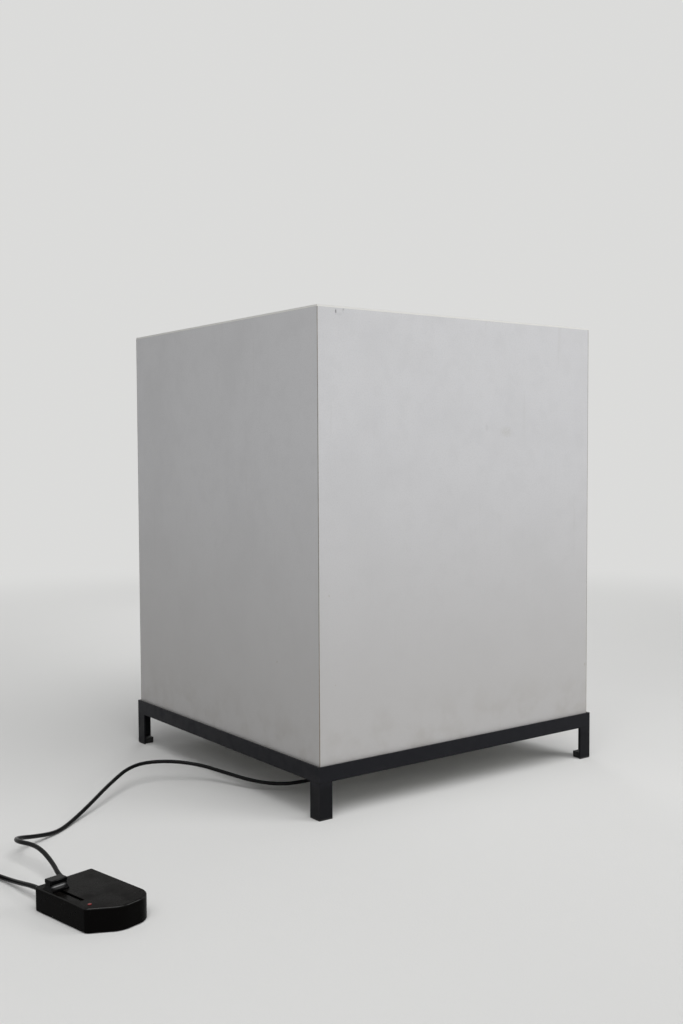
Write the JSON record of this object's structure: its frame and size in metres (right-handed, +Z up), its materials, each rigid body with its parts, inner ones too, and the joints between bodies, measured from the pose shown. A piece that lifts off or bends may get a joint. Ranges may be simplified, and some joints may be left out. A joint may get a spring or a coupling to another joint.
{
  "type": "floor lamp",
  "caption": "Tall box floor lamp: opal lift-off shade over bulbs on a tray, in a low dark angle frame on short legs, with a foot dimmer on its lead.",
  "frame": {"origin": "on the floor, under the centre of the square frame", "axes": "+X to the right along the front, +Y away from the front, +Z up"},
  "size_m": [1.1896, 0.7931, 0.783],
  "materials": {
    "frame_paint": "anthracite powder coat, satin, scuffed on the edges",
    "foot_rubber": "matt black moulded rubber",
    "tray_paint": "white stove enamel, satin",
    "zinc_screw": "zinc plated",
    "brass_screw": "plain turned brass",
    "holder_plastic": "white moulded thermoplastic",
    "bulb_collar": "white moulded plastic over a plated screw cap",
    "bulb_diffuser": "frosted",
    "cable_sheath": "white sheath",
    "opal_acrylic": "opal sheet, satin, faintly mottled with dust",
    "bond_line": "aged adhesive, yellowed",
    "dimmer_shell": "black, fine satin grain",
    "slider_gloss": "black, polished",
    "circuit_board": "green solder mask",
    "pot_housing": "tinned",
    "heat_sink": "extruded, bare",
    "choke_copper": "varnished winding",
    "fuse_glass": "clear tube in plated clips",
    "indicator_lens": "clear red",
    "black_pvc": "satin black sheath",
    "tie_strap": "black woven hook tape",
    "plug_rubber": "black moulded, fine grain",
    "plug_nickel": "nickel plated"
  },
  "bodies": {
    "root": {"base_tray": "tray_paint", "bulb_base_1": "bulb_collar", "bulb_base_2": "bulb_collar", "bulb_base_3": "bulb_collar", "bulb_base_4": "bulb_collar", "bulb_globe_1": "bulb_diffuser", "bulb_globe_2": "bulb_diffuser", "bulb_globe_3": "bulb_diffuser", "bulb_globe_4": "bulb_diffuser", "coil_tie": "tie_strap", "cord_clamp": "holder_plastic", "dimmer_board": "circuit_board", "dimmer_bottom": "dimmer_shell", "dimmer_choke": "choke_copper", "dimmer_cord_clamps": "black_pvc", "dimmer_fuse": "fuse_glass", "dimmer_indicator": "indicator_lens", "dimmer_pads": "foot_rubber", "dimmer_relief_lamp": "black_pvc", "dimmer_relief_mains": "black_pvc", "dimmer_screws": "zinc_screw", "dimmer_slide_pot": "pot_housing", "dimmer_top": "dimmer_shell", "dimmer_triac": "heat_sink", "earth_screw": "brass_screw", "foot_back_left": "foot_rubber", "foot_back_right": "foot_rubber", "foot_front_left": "foot_rubber", "foot_front_right": "foot_rubber", "inner_cables": "cable_sheath", "lamp_lead": "black_pvc", "lampholder_1": "holder_plastic", "lampholder_2": "holder_plastic", "lampholder_3": "holder_plastic", "lampholder_4": "holder_plastic", "lampholder_nuts": "zinc_screw", "leg_back_left": "frame_paint", "leg_back_right": "frame_paint", "leg_front_left": "frame_paint", "leg_front_right": "frame_paint", "mains_lead": "black_pvc", "mains_lead_coil": "black_pvc", "mains_lead_tail": "black_pvc", "plug_body": "plug_rubber", "plug_contacts": "plug_nickel", "rail_back": "frame_paint", "rail_front": "frame_paint", "rail_left": "frame_paint", "rail_right": "frame_paint", "terminal_block": "holder_plastic", "terminal_cover": "holder_plastic", "tray_relief": "black_pvc", "tray_screws": "zinc_screw"},
    "shade": {"shade_back": "opal_acrylic", "shade_corner_bonds": "bond_line", "shade_front": "opal_acrylic", "shade_left": "opal_acrylic", "shade_right": "opal_acrylic", "shade_top": "opal_acrylic"},
    "slider": {"slider_knob": "slider_gloss"}
  },
  "joints": [
    {"name": "shade_lift", "type": "slide", "parent": "root", "child": "shade", "axis": [0, 0, 1], "range_m": [0, 0.25]},
    {"name": "dimmer_slide", "type": "slide", "parent": "root", "child": "slider", "axis": [0.1994, -0.9799, 0], "range_m": [0, 0.05]}
  ]
}
